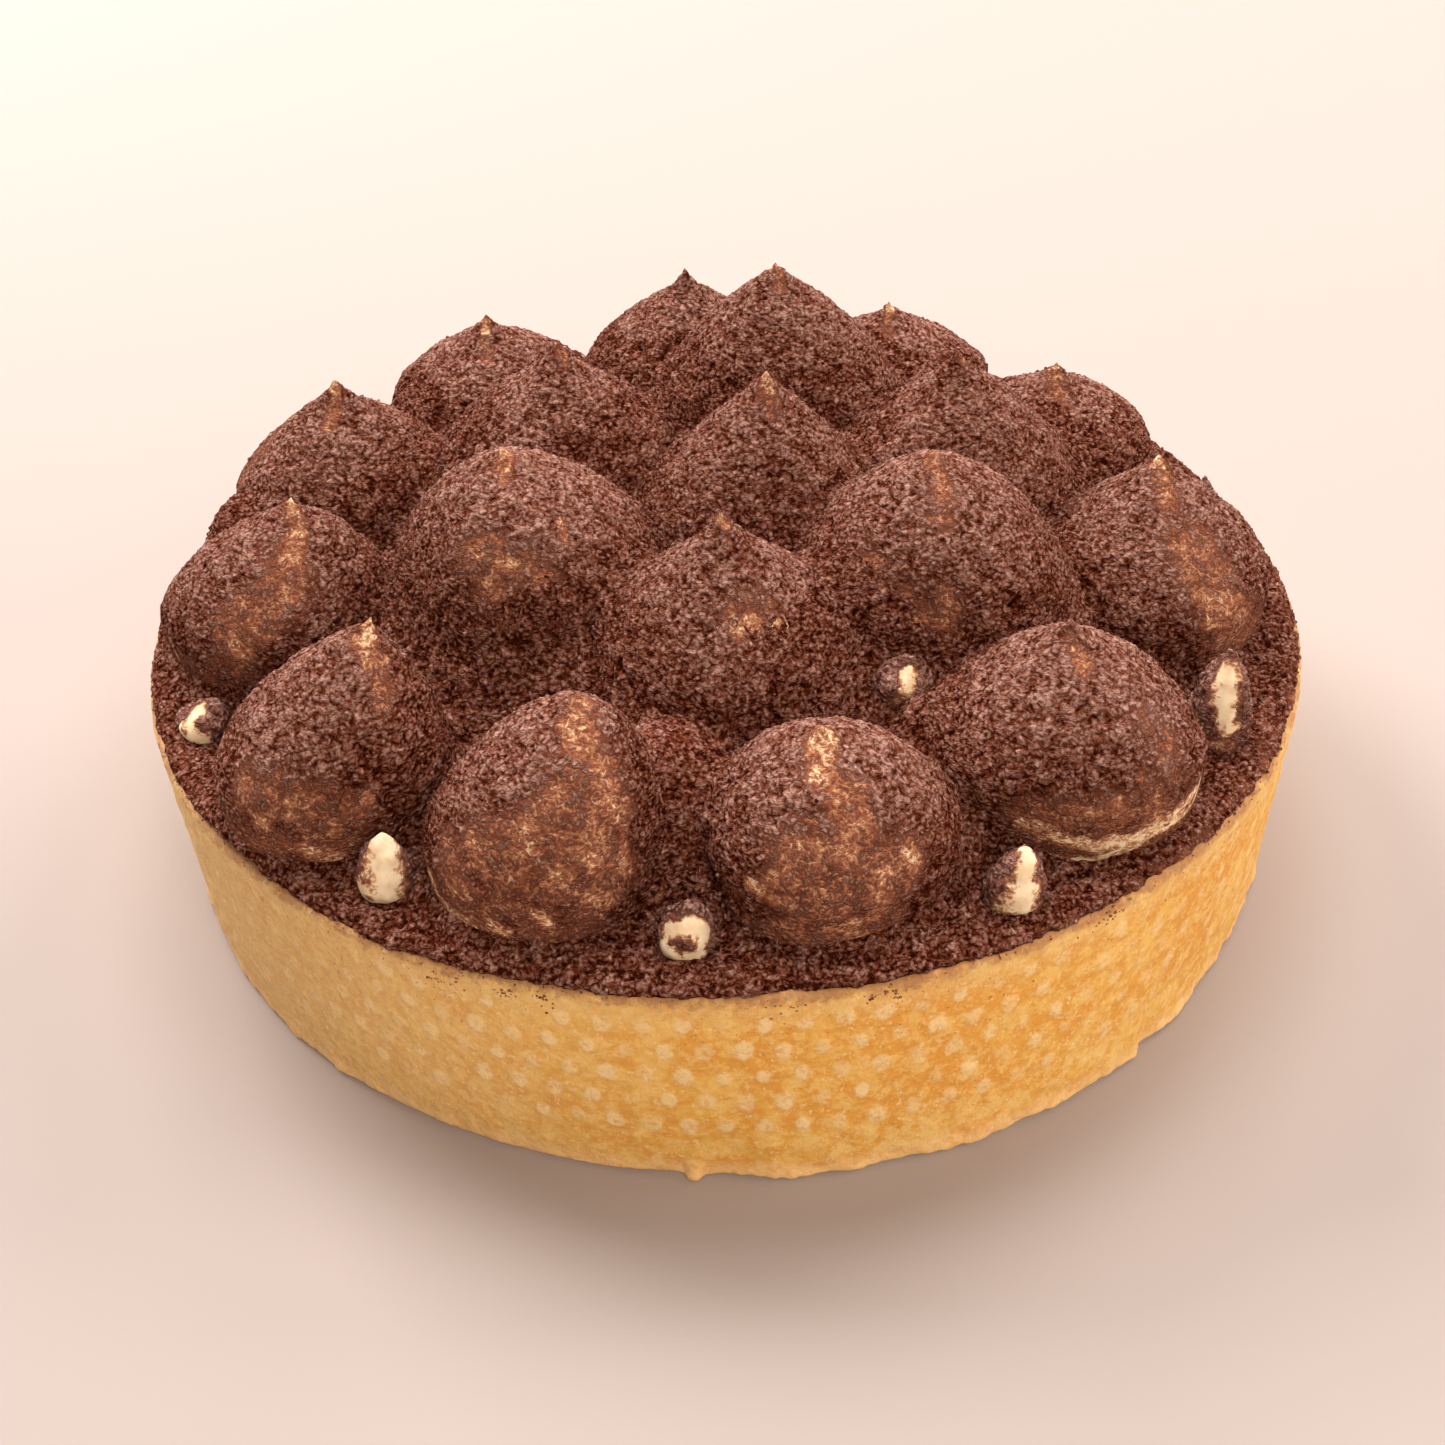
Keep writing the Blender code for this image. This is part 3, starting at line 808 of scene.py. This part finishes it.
def crust_material():
    """Baked shortcrust: gold, paler at the left and deeper at the right, with pale printed spots."""
    g = Graph("shortcrust")
    spot = g.value("print")
    level = g.value("level")
    side = g.value("side")
    place = g.warped(2.2 * MM, 0.5 * MM)
    broad = g.noise(15.0 * MM, 3.0, 0.55)
    patch = g.noise(3.6 * MM, 3.0, 0.6, place)
    crumb = g.noise(1.3 * MM, 4.0, 0.7, place)
    mottle = g.noise(2.0 * MM, 3.0, 0.65, place)
    deep = g.weighed((broad, 0.35), (patch, 0.35), (mottle, 0.30), (side, 0.03))
    # Where it is paler under the rim, paler at the foot (its own pale tone there, lifted by painted bounce
    # light from the floor), streaked, printed, flecked, and brown with cocoa
    upper = g.fade(g.plus(level, g.times(patch, 0.12)), 0.88, 1.01)
    foot = g.fade(g.plus(level, g.times(patch, 0.10)), 0.18, 0.08)
    streak = g.times(g.fade(level, 0.06, 0.16), g.fade(level, 0.34, 0.20))
    streak = g.times(streak, g.fade(side, 0.02, 0.20), g.fade(mottle, 0.44, 0.54))
    uneven = g.weighed((g.centred(crumb), 1.6), (g.centred(mottle), 1.0))
    inside = g.fade(g.times(spot, g.plus(uneven, 1.0)), 0.08, 0.95)
    flecks = g.times(g.fade(g.noise(0.75 * MM, 1.0), 0.62, 0.70), g.fade(mottle, 0.42, 0.52))
    specks = g.times(g.fade(g.noise(0.55 * MM, 1.0), 0.69, 0.74), g.fade(level, 0.40, 0.95))
    drift = g.weighed((level, 1.0), (g.centred(crumb), 0.12), (g.centred(patch), 0.10))
    colour = g.mix(g.fade(deep, 0.46, 0.56), CRUST_GOLD, CRUST_ORANGE)
    for share, most, coat in (
        (g.fade(patch, 0.50, 0.40), 0.50, CRUST_LIGHT),
        (g.fade(side, 0.0, -0.8), 0.80, CRUST_PALE),
        (upper, 0.45, CRUST_PALE),
        (foot, 0.75, CRUST_FOOT_AND_BOUNCE_LIGHT),
        (streak, 0.65, CRUST_LIGHT),
        (inside, 1.0, PRINT_PALE),
        (g.fade(crumb, 0.51, 0.60), 0.45, CRUST_LIGHT),
        (g.fade(crumb, 0.48, 0.40), 0.40, CRUST_ORANGE),
        (flecks, 0.70, PRINT_PALE),
        (g.times(specks, g.fade(broad, 0.40, 0.58)), 0.90, CRUST_BROWN),
        (g.fade(drift, 0.945, 1.0), 0.75, CRUST_BROWN),
    ):
        colour = g.mix(g.times(share, most), colour, coat)
    rise = g.weighed((crumb, 0.8), (g.noise(0.45 * MM, 2.0, 0.6), 0.3), (inside, 0.25))
    return g.finish(colour, CRUST_ROUGHNESS, CRUST_GLOSS, rise, CRUST_BUMP)


def rim_shift(turn):
    return RIM_LIFT + RIM_WAVE * (0.6 * np.sin(3 * turn + 0.6) + 0.4 * np.sin(8 * turn + 2.1))


def side_wave(turn, height):
    """How far the wall stands out of a true cone, at a turn and a share of the height."""
    wave = 0.7 * np.sin(2 * turn) + 0.3 * np.sin(5 * turn + 0.4)
    degrees = np.degrees(turn)
    low = 1.0 - height
    lip = smooth((degrees - LIP_START) / LIP_IN) * smooth((LIP_END - degrees) / LIP_OUT)
    push = LIP * lip * low ** 3
    for middle, width, most in FOOT_BUMPS:
        apart = (degrees - middle + 180.0) % 360.0 - 180.0
        push = push + most * MM * np.exp(-(apart / width) ** 2) * low ** 14
    return SIDE_WAVE * wave * (0.25 + 0.75 * low) + push


def leg(start, end, edge):
    """Steps of a profile from one point to another, no longer than an edge, with that edge kept."""
    count = max(int(math.dist(start, end) / edge), 1)
    share = np.arange(count) / count
    return [(start[0] + (end[0] - start[0]) * s, start[1] + (end[1] - start[1]) * s, edge) for s in share]


def arc(centre, radius, start, end, edge):
    count = max(int(abs(math.radians(end - start)) * radius / edge), 3)
    angles = np.radians(np.linspace(start, end, count, endpoint=False))
    return [(centre[0] + radius * math.cos(a), centre[1] + radius * math.sin(a), edge) for a in angles]


def print_spots(turn, height):
    """How far inside one of the ring's printed spots a place on the wall is, 0 to 1."""
    width = 2 * math.pi * TOP_RADIUS / PRINT_COLUMNS
    best = np.zeros(len(turn))
    for row in range(PRINT_COUNT):
        level = PRINT_LOWEST + PRINT_ROWS * row
        place = turn / (2 * math.pi) * PRINT_COLUMNS + PRINT_START + 0.5 * (row % 2)
        column = np.round(place)
        aside = (place - column) * width + PRINT_SHIFT * np.sin(12.9 * column + 4.1 * row)
        rise = height - level - PRINT_SHIFT * np.sin(7.7 * column + 2.3 * row)
        size = 1.0 + PRINT_SIZES * np.sin(5.3 * column + 9.1 * row)
        away = np.hypot(aside / PRINT_HALF_WIDTH, rise / PRINT_HALF_HEIGHT) / size
        strength = 1.0 - PRINT_STRENGTHS * (1.0 - np.sin(3.7 * column + 5.9 * row))
        best = np.maximum(best, strength * smooth((1.20 - away) / 0.60))
    return best


def build_crust(material):
    inner = TOP_RADIUS - CASE_WALL
    foot = BASE_RADIUS - FOOT_ROUND
    rim = TOP_RADIUS - RIM_ROUND
    top = CASE_HEIGHT - RIM_ROUND
    bottom = CASE_HEIGHT - HIDDEN_DEPTH
    path = leg((inner - HIDDEN_SLANT, bottom), (inner, CASE_HEIGHT - 0.2 * MM), HIDDEN_EDGE)
    path += leg((inner, CASE_HEIGHT), (rim, CASE_HEIGHT), COARSE_EDGE)
    path += arc((rim, top), RIM_ROUND, 90, 0, CRUST_EDGE)
    path += leg((TOP_RADIUS, top), (BASE_RADIUS, FOOT_ROUND), CRUST_EDGE)
    path += arc((foot, FOOT_ROUND), FOOT_ROUND, 0, -90, 0.5 * CRUST_EDGE)
    path += leg((foot, 0.0), (foot - UNDERSIDE_RIM, 0.0), UNDERSIDE_EDGE)
    path += leg((foot - UNDERSIDE_RIM, 0.0), (0.0, 0.0), HIDDEN_EDGE)
    path = np.array([(0.0, bottom, HIDDEN_EDGE)] + path + [(0.0, 0.0, HIDDEN_EDGE)])
    counts = ring_counts(path[:, 0], path[:, 2])
    ring, angle = round_rings(counts)
    radius = path[ring, 0]
    height = path[ring, 1]
    turn = np.arctan2(np.cos(angle), -np.sin(angle))
    level = height / CASE_HEIGHT
    outside = radius > BASE_RADIUS - CASE_WALL
    radius = radius + np.where(outside, side_wave(turn, level), 0.0)
    height = height + np.where(outside, rim_shift(turn) * level ** 4, 0.0)
    points = np.column_stack([radius * np.cos(angle), radius * np.sin(angle), height])
    triangles = ringed(counts)
    wall = smooth((radius - foot) / (1 * MM)) * (level > 0.001)
    spot = print_spots(turn, height) * wall
    seen = smooth((noise(points, 11 * MM, SEED + 11) + 0.80) / 0.75)
    side = np.sin(turn)
    faint = PRINT_FAINT_RIGHT * smooth((side - 0.10) / 0.5)
    faint += PRINT_FAINT_LEFT * smooth((-side - 0.35) / 0.6)
    spot *= (PRINT_LEAST + (1.0 - PRINT_LEAST) * seen) * (1.0 - faint) * smooth((0.95 - level) / 0.08)
    out = vertex_normals(points, triangles)
    low = smooth((0.10 - level) / 0.1) * wall
    crumb = layered(points, 12, CRUMB_LAYERS) * MM + FOOT_RELIEF * low * layered(points, 14, FOOT_LAYERS)
    points = points + out * (PRINT_RELIEF * spot + crumb * wall)[:, None]
    points[:, 2] = np.maximum(points[:, 2], 0.0)
    values = {"print": spot, "level": level, "side": side}
    return make_piece("crust", points, triangles, values, material, "tart_case")


def bed_height(x, y, kisses):
    """Height of the cocoa between the kisses, and the heights of the kisses' skins over it."""
    distance = np.hypot(x, y)
    flat = np.column_stack([x, y, np.zeros(len(x))])
    on_rim = smooth((distance - RIM_START) / RIM_RUN)
    rim = CASE_HEIGHT + BED_ON_RIM + rim_shift(np.arctan2(x, -y))
    base = (cream_height(distance) + BED_ON_CREAM) * (1 - on_rim) + rim * on_rim
    uneven = layered(flat, 21, BED_LAYERS) + layered(flat, 28, BED_FINE_LAYERS)
    base += uneven * (1 - 0.6 * on_rim) * MM
    back = smooth((y - BACK_START) / (BACK_END - BACK_START))
    turn = np.degrees(np.arctan2(x, -y))
    trench = smooth((turn - TRENCH_START) / TRENCH_FADE) * smooth((TRENCH_END - turn) / TRENCH_FADE)
    gaps = [np.hypot(x - kiss.x, y - kiss.y) - LAP_FOOT * kiss.radius for kiss in kisses]
    climb = (LAP + LAP_BACK * back) * (1 - TRENCH_DEPTH * trench)
    base += climb * np.exp(-np.maximum(np.minimum.reduce(gaps), 0.0) / LAP_WIDTH)
    for a, b, top, size in HEAPS:
        heap = top * MM - HEAP_DROP * (np.hypot(x - a * MM, y - b * MM) / (size * MM)) ** 2
        rise = HEAP_BLEND * np.logaddexp(0.0, (heap - base) / HEAP_BLEND)
        base = base + rise * (1 - smooth((distance - HEAP_END) / HEAP_RUN))
    start = FILL_START + (2 * BACK_OUTWARD) * back
    end = FILL_END + BACK_OUTWARD * back
    inside = 1 - smooth((distance - start) / (end - start))
    behind = smooth((y - BEHIND_START) / BEHIND_RUN)
    most = FILL_FRONT + (FILL_BACK - FILL_FRONT) * behind
    fill = FILL_OUTSIDE + (most - FILL_OUTSIDE) * inside
    covers = [kiss.cover(x, y) for kiss in kisses]
    highest = np.maximum.reduce(covers)
    level = np.maximum(highest, base)
    total = np.exp((base - level) / fill)
    for cover in covers:
        total += np.exp((cover - level) / fill)
    merged = level + fill * np.log(total)
    dive = BED_DIP * (1 + BED_DIVE * np.clip(1 - (merged - highest) / BED_DIP, 0, 1))
    merged = merged - dive * (highest > base)
    return base + inside * (merged - base), covers


def build_bed(material, kisses):
    """Cocoa over the cream, from the middle to the outer edge of the rim."""
    edge = BED_EDGE_RADIUS
    path = [(0.0, 0.0, BED_EDGE)] + leg((BED_EDGE, 0.0), (edge, 0.0), BED_EDGE)
    path += leg((edge, 0.0), (edge, -BED_DROP), BED_EDGE)
    path = np.array(path)
    counts = ring_counts(path[:, 0], path[:, 2])
    ring, angle = round_rings(counts)
    radius = path[ring, 0]
    x = radius * np.cos(angle)
    y = radius * np.sin(angle)
    height, covers = bed_height(x, y, kisses)
    hidden = np.zeros(len(x), bool)
    for kiss, cover in zip(kisses, covers):
        foot = kiss.radius * math.sqrt(1 - kiss.form.seat ** 2) - COVER_INSET
        hidden |= (np.hypot(x - kiss.x, y - kiss.y) < foot) & (cover - height > COVER_DEPTH)
    around = TOP_RADIUS * np.column_stack([np.cos(angle), np.sin(angle), np.zeros(len(x))])
    wave = BED_WAVE * layered(around, 25, BED_EDGE_LAYERS)
    outer = smooth((radius - edge) / BED_WAVE_RUN + 1)
    shoulder = smooth((radius - edge) / BED_ROUNDING + 1)
    height = height - BED_SHOULDER * shoulder ** 2 + path[ring, 1]
    x = x + wave * outer * np.cos(angle)
    y = y + wave * outer * np.sin(angle)
    points = np.column_stack([x, y, height])
    triangles = ringed(counts)
    relief = clumps(points)
    out = vertex_normals(points, triangles)
    points = points + out * (relief * BED_RELIEF * (1 - 0.4 * outer))[:, None]
    triangles = triangles[~hidden[triangles].all(axis=1)]
    used = np.unique(triangles)
    index = np.full(len(points), -1)
    index[used] = np.arange(len(used))
    right = smooth((x / TOP_RADIUS - 0.2) / 0.6)
    worn = outer * (0.25 + 0.75 * right) * smooth(noise(points, 2.6 * MM, SEED + 27) + 0.55)
    values = {"dust": (1.0 - 0.48 * worn)[used], "relief": relief[used], "powder_and_painted_top_light": np.full(len(used), 0.06)}
    return make_piece("cocoa_bed", points[used], index[triangles], values, material, "cream_filling")


def build_kiss(kiss, material):
    points, triangles = kiss.mesh(KISS_EDGE)
    out = vertex_normals(points, triangles)
    points = points + out * (MM * layered(points, 31, KISS_LAYERS))[:, None]
    ragged = layered(points, 32, KISS_RAGGED)
    plan = np.array((kiss.x, kiss.y)) / max(kiss.distance, 1e-6)
    outward = smooth((out[:, :2] @ plan + 0.35) / 0.5)
    thin = kiss.thinness(points, THIN_KISS, ragged)
    steep = smooth((0.38 - out[:, 2] + 0.25 * ragged) / 0.6) * outward
    if kiss.node in FILMS:
        first, last, most = FILMS[kiss.node]
        turn = np.degrees(np.arctan2(points[:, 0] - kiss.x, kiss.y - points[:, 1])) + 9.0 * ragged
        steep *= smooth((turn - first) / 20.0) * smooth((last - turn) / 16.0) * most
    else:
        steep *= FILM_OUTER if kiss.form is OUTER_FORM else FILM_INNER
    thin = np.maximum(thin, steep)
    thin = thin + layered(points, 34, KISS_PATCHES) * smooth((thin - 0.25) / 0.2)
    relief = clumps(points)
    amount = THIN_RELIEF + (CLUMP_RELIEF - THIN_RELIEF) * smooth((0.62 - thin) / 0.5)
    points = points + out * (relief * amount)[:, None]
    # powder here is painted top light: the colour is lighter where the skin faces up
    values = {"dust": 1.0 - thin, "relief": relief, "powder_and_painted_top_light": smooth((out[:, 2] - 0.35) / 0.55)}
    return make_piece(f"dusted_{kiss.node}", points, triangles, values, material, kiss.node)


def build_dot(dot, material):
    points, triangles = dot.mesh(DOT_EDGE)
    out = vertex_normals(points, triangles)
    points = points + out * (MM * layered(points, 41, DOT_LAYERS))[:, None]
    ragged = layered(points, 42, DOT_RAGGED)
    thin = dot.thinness(points, THIN_DOT, ragged)
    relief = clumps(points)
    points = points + out * (relief * CLUMP_RELIEF * smooth((0.5 - thin) / 0.4))[:, None]
    # powder here is painted top light: the colour is lighter where the skin faces up
    values = {"dust": 1.0 - thin, "relief": relief, "powder_and_painted_top_light": 0.8 * smooth(out[:, 2] + 0.4)}
    return make_piece(f"cream_{dot.node}", points, triangles, values, material, dot.node)


def grain_shape():
    """The corners and faces of one grain: a rough ball of 20 triangles."""
    shape = bmesh.new()
    bmesh.ops.create_icosphere(shape, subdivisions=1, radius=1.0)
    corners = np.array([vertex.co[:] for vertex in shape.verts])
    faces = np.array([[vertex.index for vertex in face.verts] for face in shape.faces])
    shape.free()
    return corners, faces


def spread_on(points, triangles, count, random, keep):
    """Places and normals of grains spread evenly over the part of a mesh where keep is set."""
    chosen = triangles[keep[triangles].all(axis=1)]
    a, b, c = (points[chosen[:, i]] for i in range(3))
    face = np.cross(b - a, c - a)
    area = np.linalg.norm(face, axis=1)
    pick = random.choice(len(chosen), count, p=area / area.sum())
    share = random.random((count, 2))
    share = np.where(share.sum(axis=1)[:, None] > 1, 1 - share, share)
    place = a[pick] + (b - a)[pick] * share[:, :1] + (c - a)[pick] * share[:, 1:]
    return place, face[pick] / area[pick][:, None]


def on_case(turn, fall):
    """Places on the outside of the crust, a given fall below its top."""
    level = 1.0 - fall / CASE_HEIGHT
    radius = BASE_RADIUS + (TOP_RADIUS - BASE_RADIUS) * level + side_wave(turn, level)
    rounded = np.clip(1.0 - fall / RIM_ROUND, 0.0, 1.0)
    radius = radius - RIM_ROUND * (1.0 - np.sqrt(1.0 - rounded ** 2))
    height = CASE_HEIGHT + rim_shift(turn) - fall
    return np.column_stack([radius * np.sin(turn), -radius * np.cos(turn), height])


def build_grains(material, bed, kisses):
    """Loose grains of cocoa on the bed and the kisses, along the crust's edge and down its wall."""
    random = np.random.default_rng(SEED)
    places = []
    sizes = []
    dusty = [(bed, BED_GRAINS)] + [(kiss, KISS_GRAINS) for kiss in kisses]
    for (points, triangles, values), (count, rarity, lift, least) in dusty:
        place, out = spread_on(points, triangles, count, random, values["dust"] > least)
        size = GRAIN_SMALL + (GRAIN_LARGE - GRAIN_SMALL) * random.random(count) ** rarity
        places.append(place + out * (lift * size)[:, None])
        sizes.append(size)
    turn = random.random(EDGE_GRAINS) * 2 * math.pi
    places.append(on_case(turn, random.random(EDGE_GRAINS) ** 1.6 * EDGE_FALL))
    sizes.append(GRAIN_SMALL * (0.45 + 0.65 * random.random(EDGE_GRAINS)))
    turn = random.random(WALL_GRAINS) * 2 * math.pi
    fall = WALL_START + WALL_FALL * random.random(WALL_GRAINS) ** 1.8
    for middle, count in SPILLS:
        turn = np.append(turn, np.radians(random.normal(middle, SPILL_TURN, count)))
        fall = np.append(fall, SPILL_START + np.abs(random.normal(0.0, SPILL_FALL, count)))
    places.append(on_case(turn, fall))
    coarse = np.where(np.arange(len(turn)) < WALL_GRAINS, WALL_SIZE, SPILL_SIZE)
    sizes.append(GRAIN_SMALL * coarse * (1.0 + 1.4 * random.random(len(turn)) ** 2))
    place = np.concatenate(places)
    size = np.concatenate(sizes)
    corners, faces = grain_shape()
    rough = 1.0 + GRAIN_ROUGH * (random.random((len(place), len(corners))) - 0.5)
    stretch = 1.0 + GRAIN_STRETCH * (random.random((len(place), 1, 3)) - 0.5)
    points = place[:, None, :] + corners[None] * rough[:, :, None] * stretch * size[:, None, None]
    triangles = faces[None] + (np.arange(len(place)) * len(corners))[:, None, None]
    lift = np.repeat(0.35 + 0.6 * random.random(len(place)), len(corners))
    strewn = EDGE_GRAINS + len(turn)
    dust = np.where(np.arange(len(place)) < len(place) - strewn, 1.0, STREWN_DUST)
    values = {"dust": np.repeat(dust, len(corners)), "relief": lift, "powder_and_painted_top_light": 0.5 * lift}
    points = points.reshape(-1, 3)
    return make_piece("cocoa_grains", points, triangles.reshape(-1, 3), values, material, None)


def build_floor():
    mesh = bpy.data.meshes.new("floor")
    a = FLOOR_HALF
    corners = [(x, y, -FLOOR_DROP) for x, y in ((-a, -a), (a, -a), (a, a), (-a, a))]
    mesh.from_pydata(corners, [], [(0, 1, 2, 3)])
    mesh.materials.append(Graph("floor").finish(FLOOR_COLOUR, FLOOR_ROUGHNESS, FLOOR_GLOSS))
    floor = bpy.data.objects.new("floor", mesh)
    scene.collection.objects.link(floor)


def build_camera():
    """The photograph's view."""
    tilt = Matrix.Rotation(math.radians(90.0 - CAMERA_RISE), 4, "X")
    roll = Matrix.Rotation(math.radians(CAMERA_ROLL), 4, "Z")
    away = Matrix.Translation((0.0, 0.0, CAMERA_DISTANCE))
    data = bpy.data.cameras.new("camera")
    data.sensor_width = 36.0
    data.lens = CAMERA_LENS
    data.clip_start = 0.01
    camera = bpy.data.objects.new("camera", data)
    camera.matrix_world = Matrix.Translation(Vector(CAMERA_TARGET) * MM) @ tilt @ roll @ away
    scene.collection.objects.link(camera)
    scene.camera = camera


def build_light():
    world = bpy.data.worlds.new("studio")
    world.use_nodes = True
    background = world.node_tree.nodes["Background"]
    background.inputs["Color"].default_value = (*WORLD_COLOUR, 1.0)
    background.inputs["Strength"].default_value = WORLD_STRENGTH
    scene.world = world
    for name, place, power, colour in LIGHTS:
        data = bpy.data.lights.new(name, "AREA")
        data.shape = "DISK"
        data.size = LIGHT_SIZE
        data.energy = power
        data.color = colour
        light = bpy.data.objects.new(name, data)
        light.location = place
        light.rotation_euler = (-Vector(place)).to_track_quat("-Z", "Y").to_euler()
        scene.collection.objects.link(light)
    scene.view_settings.view_transform = "Standard"


kisses, dots = all_drops()
dusted = dusted_material("dusted_cream", COCOA_GLOSS)
dropped = dusted_material("dusted_drops", CREAM_GLOSS)
build_crust(crust_material())
bed = build_bed(dusted, kisses)
dusty_kisses = [build_kiss(kiss, dusted) for kiss in kisses]
for dot in dots:
    build_dot(dot, dropped)
build_grains(dusted, bed, dusty_kisses)
build_floor()
build_light()
build_camera()
